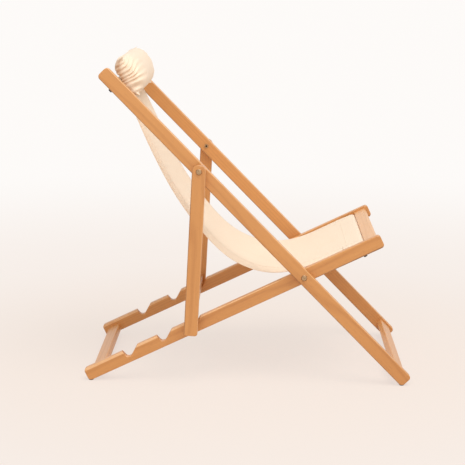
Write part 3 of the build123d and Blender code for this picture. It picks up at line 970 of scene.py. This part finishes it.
class CHAIR_OT_wood(bpy.types.Operator):
    """Gives every wooden piece its oiled hardwood, with the grain along the piece"""

    bl_idname = "garden_chair.finish_wood"
    bl_label = "Finish the wood"

    def execute(self, context):
        back_way = cross_pivot - prop_pivot
        seat_way = front_dowel - centre_of("rear_crossbar")
        prop_way = centre_of("prop_crossbar") - prop_pivot
        rails = (
            ("back_rail", cross_pivot, back_layer_y, back_way),
            ("seat_rail", cross_pivot, seat_layer_y, seat_way),
            ("prop", prop_pivot, prop_layer_y, prop_way),
        )
        for name, place, y, way in rails:
            material = wood_material(
                name + "_wood", (place.x, y, place.z), rail_turn(way),
                rail_half_thickness, RAIL_HALF_DEPTH, mirrored=True)
            for side in ("left_", "right_"):
                dress(side + name, material)
        bar_section = (BAR_HALF_WIDTH, rail_half_thickness)
        # Half sections twice as large as the dowels' own keep the edge masks off their round sides
        top_section = (2 * top_dowel_radius, 2 * top_dowel_radius)
        front_section = (2 * front_dowel_radius, 2 * front_dowel_radius)
        # The last number is painted light: how much paler a bar is all over, for its lit upper side
        bars = (
            ("foot_crossbar", back_way, bar_section, 0.12),
            ("rear_crossbar", seat_way, bar_section, 0.04),
            ("seat_front_board", seat_way, bar_section, 0.34),
            ("prop_crossbar", prop_way, bar_section, 0.0),
            ("top_sling_dowel", back_way, top_section, 0.0),
            ("front_sling_dowel", seat_way, front_section, 0.0),
        )
        for node, way, section, painted_light_share in bars:
            place = centre_of(node)
            material = wood_material(
                node + "_wood", (place.x, 0.0, place.z), bar_turn(way), *section,
                mirrored=False, painted_light_share=painted_light_share)
            dress(node, material)
        return {"FINISHED"}


class CHAIR_OT_fasteners(bpy.types.Operator):
    """Gives the bolts, nuts and washers their bronzed steel, with painted shade on the bolts' ends, and the
    screws a blackened one
    """

    bl_idname = "garden_chair.finish_fasteners"
    bl_label = "Finish the fasteners"

    def execute(self, context):
        colours = context.scene.chair_colours
        black = steel_material("blackened_steel", colours.screw, metallic=0.0)
        plain = steel_material("bronzed_steel", colours.fastener)
        for node in frame["nodes"]:
            if node.endswith("_screws"):
                dress(node, black)
            elif node.endswith(("_washers", "_nuts")):
                dress(node, plain)
        # The bolts' ends in the nuts get painted shade in the screws' black
        for node, rail in (("cross_pivot_bolts", "left_seat_rail"), ("prop_pivot_bolts", "left_back_rail")):
            material = steel_material(node + "_steel", colours.fastener)
            inner_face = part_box(rail)[0].y
            paint_bolt_end_shade(material, inner_face, colours.screw)
            dress(node, material)
        return {"FINISHED"}


class CHAIR_OT_glides(bpy.types.Operator):
    """Gives the glides under the feet their moulded plastic"""

    bl_idname = "garden_chair.finish_glides"
    bl_label = "Finish the glides"

    def execute(self, context):
        material = plastic_material("black_plastic", context.scene.chair_colours.glide)
        for node in ("front_glides", "rear_glides"):
            dress(node, material)
        return {"FINISHED"}


class CHAIR_OT_sling(bpy.types.Operator):
    """Hangs the canvas sling between its dowels, with its sleeves, hems and stitching"""

    bl_idname = "garden_chair.hang_sling"
    bl_label = "Hang the sling"

    def execute(self, context):
        sizes = context.scene.chair_sizes
        run = SlingRun(sizes)
        columns, cut = sling_columns(sizes)
        points = [
            sling_point(run, row, y, depth, sizes)
            for row in range(len(run.points)) for y, depth in columns
        ]
        faces = grid_faces(len(run.points), len(columns))
        sling = mesh_object("canvas_sling", points, faces, canvas_material("cream_canvas"))
        map_cloth(sling, [(width, length) for length in run.lengths for width in cut])
        wall = sling.modifiers.new("Cloth", "SOLIDIFY")
        wall.thickness = sizes.cloth_thickness
        wall.offset = 0.0
        plain_mesh(sling)
        smooth_all(sling)
        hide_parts("sling")
        hang_on_frames(sling)

        lift = (sizes.cloth_thickness + sizes.thread_radius) / 2
        back = sizes.cloth_thickness * LAYER_SHARE
        hem_row = sling_half_width - sizes.hem_width + STITCH_INSET
        edge = sling_half_width - STITCH_INSET
        across = np.linspace(-edge, edge, SEAM_POINTS)
        first, last = run.marks
        down = range(first - STITCHES_OVER_SLEEVES[0], last + STITCHES_OVER_SLEEVES[1])
        rows = [[(row, side * hem_row) for row in down] for side in (-1, 1)]
        rows += [[(row, y) for y in across] for row in (first, last)]
        lines = [
            [sling_point(run, row, y, depth, sizes) for row, y in places]
            for places in rows for depth in (-lift, back + lift)
        ]
        stitches = sewn("sling_stitches", lines)
        hang_on_frames(stitches)
        return {"FINISHED"}


# A place on the pillow's cover has an across, from -1 at the upper edge to 1 at the lower one, a
# share, from -1 at the right end to 1 at the left one, a side, 1 on the front and -1 on the back,
# and a left, the distance to the nearest end seam.

# Where the pillow's seam lies, out of the top dowel's centre towards the sitter
SEAM_PLANE = 0.031
# Where its back lies on the sling, and how far that falls away above the dowel, with the height
# where the fall starts, the height that it takes and how softly the back is pressed
BED_PLANE = 0.0145
BED_DROP = 0.0055
BED_DROP_START = 0.013
BED_DROP_HEIGHT = 0.016
BED_SOFTNESS = 0.0025
# How far the pillow's middle lies above the top dowel's centre
PILLOW_RISE = 0.005
# Over what distance from an end each thing happens: the swell of the front and of the back,
# the gathering, the ear that stands up at the seam, and the seam itself
FRONT_SWELL_REACH = 0.090
BACK_SWELL_REACH = 0.013
GATHER_REACH = 0.030
EAR_REACH = 0.024
SEAM_REACH = 0.004
# How far the gathered ends lie below the middle, and where the top draws in beside them
GATHER_DROP = 0.007
WAIST_PLACE = 0.034
WAIST_REACH = 0.011
# Height of each half in the middle and at the ends, the power of its section, which is squarer
# the lower it is, how far it draws in at the waist, and how high and sharply its ear stands up
UPPER_HALF = {
    "height": -0.061, "end_height": 0.065, "section_power": 0.8,
    "waist": 0.007, "ear": 0.022, "ear_sharpness": 8,
}
LOWER_HALF = {
    "height": 0.057, "end_height": 0.0575, "section_power": 2 / 2.25,
    "waist": 0.0, "ear": 0.013, "ear_sharpness": 5,
}
# How much taller the upper half's back stays at the ends, and the power of its section
BACK_STRETCH = 0.004
BACK_SECTION_POWER = 0.7
# Height, rate and start of the waves that make the pleats uneven, and the shift of the left end's
PLEAT_WAVES = ((0.10, 2.9, 1.1), (0.04, 7.3, 0.0))
LEFT_PLEAT_SHIFT = 0.35
# Height of the pleats at the seam, as a share, and how far they go out at the seam, out beside it
# and along the pillow
PLEAT_START = 0.35
PLEAT_OUT_AT_SEAM = 0.5
PLEAT_OUT = 0.7
PLEAT_ALONG = 0.8
# How dark the painted shade in the gathers is and how far in from the seam it goes: on the front only in
# the valleys between pleats, and on the back all over
FRONT_SHADE = 0.45
FRONT_SHADE_PLACE = 0.003
FRONT_SHADE_REACH = 0.012
BACK_SHADE = 0.7
BACK_VALLEY_SHADE = 0.3
BACK_SHADE_REACH = 0.050
# Grid of each panel: parts along the pillow and up it, and the width of the cut cloth
PANEL_ROWS = 84
PANEL_COLUMNS = 60
PANEL_WIDTH = 0.165
# How much wider the cover is cut than its end seams, and how far in from them
SPARE_SHARE = 0.34
SPARE_REACH = 0.020
# How far the filling may move a point: anywhere, and more near the ends on the front, with the
# share of that freedom that the lower edge lacks
HELD_MOVE = 0.003
LOOSE_MOVE = 0.009
LOOSE_REACH = 0.036
LOWER_HOLD = 0.8
# How much closer together the panels' rows lie near the ends
END_CROWDING = 0.36
# The cover in the simulation's own terms, and how long the filling takes
COVER_CLOTH = {
    "quality": 8, "mass": 0.2, "tension_stiffness": 40.0, "compression_stiffness": 30.0,
    "shear_stiffness": 8.0, "bending_stiffness": 0.05, "air_damping": 3.0, "use_pressure": True,
}
FILLING_FRAMES = 24


def swell(left, reach):
    """How far the pillow has risen at a distance from its end, as a share of its full depth."""
    return (1 - (1 - min(1.0, left / reach)) ** 2) ** 0.5


def fading(left, reach):
    """A share that falls from one at the pillow's end to nothing some way from it."""
    return np.exp(-((left / reach) ** 2))


def pleat_wave(across, share, count):
    """Uneven pleats along an end seam, which goes from -1 to 1 across."""
    across += LEFT_PLEAT_SHIFT * (share > 0)
    uneven = across
    for height, rate, start in PLEAT_WAVES:
        uneven += height * sin(rate * across + start)
    return cos(count * pi * uneven)


def pillow_point(sizes, across, share, side, left):
    """A point of the pillow: down the sling, across the chair, and out towards the sitter."""
    half = UPPER_HALF if across < 0 else LOWER_HALF
    turn = across * pi / 2
    middle = half["height"] * abs(sin(turn)) ** half["section_power"]
    gathered = GATHER_DROP + half["end_height"] * across * (0.86 + 0.14 * across**2)
    near = fading(left, GATHER_REACH)
    waist = half["waist"] * across**4 * fading(left - WAIST_PLACE, WAIST_REACH)
    down = middle * (1 - near) + gathered * near + waist - PILLOW_RISE
    ear = half["ear"] * abs(across) ** half["ear_sharpness"]
    out = SEAM_PLANE + ear * fading(left, EAR_REACH)
    rounded = max(0.0, cos(turn)) ** half["section_power"]
    if side > 0:
        out += sizes.pillow_front * swell(left, FRONT_SWELL_REACH) * rounded
    else:
        if across < 0:
            climb = (down + PILLOW_RISE - GATHER_DROP * near) / (half["height"] - BACK_STRETCH * near)
            rounded = max(0.0, 1 - climb**2) ** BACK_SECTION_POWER
        out -= sizes.pillow_back * swell(left, BACK_SWELL_REACH) * rounded
    rise = left / sizes.pleat_reach
    height = sizes.pleat_depth * (PLEAT_START + rise * np.exp(1 - rise)) * (1 - abs(across) ** 6)
    push = pleat_wave(across, share, sizes.pleat_count) * height
    seam = fading(left, SEAM_REACH)
    out += push * (PLEAT_OUT_AT_SEAM * seam + PLEAT_OUT * side * (1 - seam))
    end = 1 if share > 0 else -1
    return down, share * sizes.pillow_length / 2 + end * PLEAT_ALONG * push, out


def fold_shade_at(sizes, across, share, side, left):
    """How much painted shade a place gets in the gathers of the nearest end seam, from nothing to one."""
    valley = 0.5 - 0.5 * pleat_wave(across, share, sizes.pleat_count)
    if side > 0:
        beside = fading(left - FRONT_SHADE_PLACE, FRONT_SHADE_REACH)
        return FRONT_SHADE * valley * beside * (1 - abs(across) ** 4)
    return (BACK_SHADE + BACK_VALLEY_SHADE * valley) * fading(left, BACK_SHADE_REACH)


def lie_on_sling(down, out):
    """Presses a place on the pillow's back softly onto the sling and the sleeve behind it."""
    drop = min(1.0, max(0.0, (-down - BED_DROP_START) / BED_DROP_HEIGHT))
    bed = BED_PLANE - BED_DROP * drop * drop * (3 - 2 * drop)
    return bed + BED_SOFTNESS * np.log1p(np.exp((out - bed) / BED_SOFTNESS))


class PillowCover:
    """The pillow's front and back panel, which share the points of the seam round their edge."""

    def __init__(self, sizes):
        rows, columns = PANEL_ROWS, PANEL_COLUMNS
        self.points, self.cut_points, self.uvs, self.folds, self.limits = [], [], [], [], []
        self.faces = []
        index = {}
        for side in (1, -1):
            for i in range(rows + 1):
                for j in range(columns + 1):
                    if side == -1 and (i in (0, rows) or j in (0, columns)):
                        index[side, i, j] = index[1, i, j]
                    else:
                        index[side, i, j] = len(self.points)
                        self.add_point(sizes, 2 * i / rows - 1, 2 * j / columns - 1, side)
            for i in range(rows):
                for j in range(columns):
                    quad = [index[side, i, j], index[side, i, j + 1],
                            index[side, i + 1, j + 1], index[side, i + 1, j]]
                    self.faces.append(quad[::side])
        self.ends = [index[1, i, j] for i in (0, rows) for j in range(columns + 1)]
        self.rim = [index[1, i, 0] for i in range(rows)]
        self.rim += [index[1, rows, j] for j in range(columns)]
        self.rim += [index[1, i, columns] for i in range(rows, 0, -1)]
        self.rim += [index[1, 0, j] for j in range(columns, -1, -1)]

    def add_point(self, sizes, along, across, side):
        """Adds a point of a panel, with its place in the cut cloth and its painted shade and freedom."""
        share = along * (1 + END_CROWDING * (1 - along**2))
        left = (1 - abs(share)) * sizes.pillow_length / 2
        down, y, out = pillow_point(sizes, across, share, side, left)
        loose = 1 + SPARE_SHARE * fading(left, SPARE_REACH)
        self.points.append((down, y, out))
        self.cut_points.append((down * loose, y, SEAM_PLANE + (out - SEAM_PLANE) * loose))
        self.uvs.append((PANEL_WIDTH * across / 2, y))
        self.folds.append(fold_shade_at(sizes, across, share, side, left))
        free = HELD_MOVE + LOOSE_MOVE * fading(left, LOOSE_REACH)
        free *= 1 - LOWER_HOLD * max(0.0, across) ** 6
        self.limits.append(free if side > 0 else HELD_MOVE)


def fill_cover(piece, cover, sizes):
    """Fills the sewn cover by a short cloth simulation: its ends are cut wider than their seams."""
    start = [vertex.co.copy() for vertex in piece.data.vertices]
    piece.shape_key_add(name="sewn")
    cut_shape = piece.shape_key_add(name="cut")
    for point, place in zip(cut_shape.data, cover.cut_points):
        point.co = place
    held = piece.vertex_groups.new(name="end_seams")
    held.add(cover.ends, 1.0, "ADD")
    cloth = piece.modifiers.new("Cover", "CLOTH")
    for name, value in COVER_CLOTH.items():
        setattr(cloth.settings, name, value)
    cloth.settings.uniform_pressure_force = sizes.pillow_pressure
    cloth.settings.vertex_group_mass = held.name
    cloth.settings.rest_shape_key = cut_shape
    cloth.settings.effector_weights.gravity = 0.0
    cloth.collision_settings.use_self_collision = False
    cloth.point_cache.frame_start = 1
    cloth.point_cache.frame_end = FILLING_FRAMES
    scene = bpy.context.scene
    for number in range(1, FILLING_FRAMES + 1):
        scene.frame_set(number)
    plain_mesh(piece)
    scene.frame_set(1)
    for vertex, place, limit in zip(piece.data.vertices, start, cover.limits):
        move = vertex.co - place
        if move.length > limit:
            vertex.co = place + move * (limit / move.length)


class CHAIR_OT_pillow(bpy.types.Operator):
    """Sews and fills the head pillow at the top of the sling"""

    bl_idname = "garden_chair.fill_pillow"
    bl_label = "Fill the pillow"

    def execute(self, context):
        sizes = context.scene.chair_sizes
        cover = PillowCover(sizes)
        material = canvas_material("pillow_canvas")
        pillow = mesh_object("gathered_pillow", cover.points, cover.faces, material)
        # The painted shade of the gathers, for the canvas material
        shade = pillow.data.attributes.new("fold", "FLOAT", "POINT")
        shade.data.foreach_set("value", cover.folds)
        map_cloth(pillow, cover.uvs)
        fill_cover(pillow, cover, sizes)
        way = heading(TOP_DEPARTURE)
        side = sitter_side(way)
        for vertex in pillow.data.vertices:
            down, y, out = vertex.co
            if out < SEAM_PLANE:
                out = lie_on_sling(down, out)
            place = top_dowel + way * down + side * out
            vertex.co = (place.x, y, place.z)
        seam = [pillow.data.vertices[index].co.copy() for index in cover.rim]
        smoother = pillow.modifiers.new("Smooth", "SUBSURF")
        smoother.levels = smoother.render_levels = 1
        plain_mesh(pillow)
        smooth_all(pillow)
        stitches = sewn("pillow_stitches", [seam])
        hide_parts("head_pillow")
        for piece in (pillow, stitches):
            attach(piece, "back_frame")
        return {"FINISHED"}


# The middle of the chair, where the lamps shine
LIT_PLACE = Vector((0, 0, 0.5))
# Half the floor's side
FLOOR_REACH = 60.0
# The floor's colour for the light that it throws back, as a share of the colour that is seen
BOUNCE_SHARE = (0.90, 0.80, 0.70)
# From where to where, out from the chair, the floor turns from its painted shadow near the chair to its far
# colour, and loses its real shadow
PAINTED_SHADOW_RANGE = (0.9, 4.0)
SHADOW_RANGE = (0.55, 1.5)
# What the sky looks like, close to the far floor so that no edge shows between them
SKY_COLOUR = (1.0, 0.975, 0.955, 1)
SEEN_SKY_STRENGTH = 0.985


def seen_directly(tree):
    """A mask of the rays that show a surface: camera, glossy and transmission rays."""
    paths = add_node(tree, "ShaderNodeLightPath").outputs
    seen = maths(tree, "MAXIMUM", paths["Is Camera Ray"], paths["Is Glossy Ray"])
    return maths(tree, "MAXIMUM", seen, paths["Is Transmission Ray"])


def stage_material():
    """Pale studio floor, with a painted shadow that makes it a little darker under the chair than far from
    it.
    """
    colours = bpy.context.scene.chair_colours
    stage = bpy.context.scene.chair_stage
    material, tree, shader = start_material("studio_floor")
    source = add_node(tree, "ShaderNodeTexCoord")
    away = vectors(tree, "LENGTH", source.outputs["Object"])
    # The near colour paints the chair's shadow onto the floor
    tone = mixed(tree, spread(tree, away, *PAINTED_SHADOW_RANGE),
                 colour_of(colours.floor_near_shadow), colour_of(colours.floor_far))
    set_inputs(tree, shader, {
        "Base Color": vectors(tree, "MULTIPLY", tone, BOUNCE_SHARE),
        "Roughness": 0.9,
        "Specular IOR Level": 0.1,
    })
    glow = add_node(tree, "ShaderNodeEmission", {"Color": tone, "Strength": 1.0})
    shadow = spread(tree, away, *SHADOW_RANGE, stage.shadow_share, 0.0)
    share = maths(tree, "MULTIPLY", seen_directly(tree), maths(tree, "SUBTRACT", 1.0, shadow))
    both = add_node(tree, "ShaderNodeMixShader", {0: share, 1: shader.outputs[0], 2: glow.outputs[0]})
    leave = next(n for n in tree.nodes if n.type == "OUTPUT_MATERIAL")
    tree.links.new(both.outputs[0], leave.inputs["Surface"])
    return material


def softbox(name, power, size, place):
    """A large square lamp that shines from a place towards the chair."""
    data = bpy.data.lights.new(name, "AREA")
    data.energy = power
    data.size = size
    lamp = bpy.data.objects.new(name, data)
    lamp.location = place
    lamp.rotation_mode = "QUATERNION"
    lamp.rotation_quaternion = (place - LIT_PLACE).to_track_quat("Z", "Y")
    bpy.context.scene.collection.objects.link(lamp)


class CHAIR_OT_stage(bpy.types.Operator):
    """Sets the pale floor, the soft light and the camera"""

    bl_idname = "garden_chair.set_stage"
    bl_label = "Set the stage"

    def execute(self, context):
        stage = context.scene.chair_stage
        corners = [(x * FLOOR_REACH, y * FLOOR_REACH, 0) for x, y in ((-1, -1), (1, -1), (1, 1), (-1, 1))]
        floor = mesh_object("studio_floor_plane", corners, [(0, 1, 2, 3)], stage_material())

        world = bpy.data.worlds.new("studio")
        world.use_nodes = True
        tree = world.node_tree
        sky = next(n for n in tree.nodes if n.type == "BACKGROUND")
        level = spread(tree, seen_directly(tree), 0.0, 1.0, stage.sky_strength, SEEN_SKY_STRENGTH)
        set_inputs(tree, sky, {"Color": SKY_COLOUR, "Strength": level})
        context.scene.world = world

        softbox("key_light", stage.key_strength, size=4.6, place=Vector((1.6, -2.5, 6.6)))
        softbox("fill_light", stage.fill_strength, size=1.6, place=Vector((-0.7, -3.0, 2.3)))

        data = bpy.data.cameras.new("camera")
        data.lens = stage.camera_lens
        data.sensor_width = 36.0
        camera = bpy.data.objects.new("camera", data)
        yaw = Matrix.Rotation(-stage.camera_yaw, 3, "Z")
        pitch = Matrix.Rotation(pi / 2 - stage.camera_pitch, 3, "X")
        roll = Matrix.Rotation(stage.camera_roll, 3, "Z")
        turn = yaw @ pitch @ roll
        camera.matrix_world = Matrix.Translation(Vector(stage.camera_place)) @ turn.to_4x4()
        context.scene.collection.objects.link(camera)
        context.scene.camera = camera

        context.scene.view_settings.view_transform = "Standard"
        return {"FINISHED"}


class CHAIR_PT_panel(bpy.types.Panel):
    """Lists the steps that make the chair"""

    bl_idname = "CHAIR_PT_panel"
    bl_label = "Garden chair"
    bl_space_type = "VIEW_3D"
    bl_region_type = "UI"
    bl_category = "Garden chair"

    def draw(self, context):
        for step in STEPS:
            self.layout.operator(step.bl_idname)
        for name in GROUPS:
            group = getattr(context.scene, name)
            box = self.layout.box()
            for entry in group.__annotations__:
                box.prop(group, entry)


STEPS = (
    CHAIR_OT_wood,
    CHAIR_OT_fasteners,
    CHAIR_OT_glides,
    CHAIR_OT_sling,
    CHAIR_OT_pillow,
    CHAIR_OT_stage,
)
GROUPS = {"chair_sizes": ChairSizes, "chair_colours": ChairColours, "chair_stage": ChairStage}
CLASSES = (*GROUPS.values(), *STEPS, CHAIR_PT_panel)


def register():
    for made in CLASSES:
        bpy.utils.register_class(made)
    for name, group in GROUPS.items():
        setattr(bpy.types.Scene, name, PointerProperty(type=group))


def unregister():
    for name in GROUPS:
        delattr(bpy.types.Scene, name)
    for made in reversed(CLASSES):
        bpy.utils.unregister_class(made)


def main():
    register()
    bpy.ops.garden_chair.finish_wood()
    bpy.ops.garden_chair.finish_fasteners()
    bpy.ops.garden_chair.finish_glides()
    bpy.ops.garden_chair.hang_sling()
    bpy.ops.garden_chair.fill_pillow()
    bpy.ops.garden_chair.set_stage()
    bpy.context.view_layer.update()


if __name__ == "__main__":
    main()
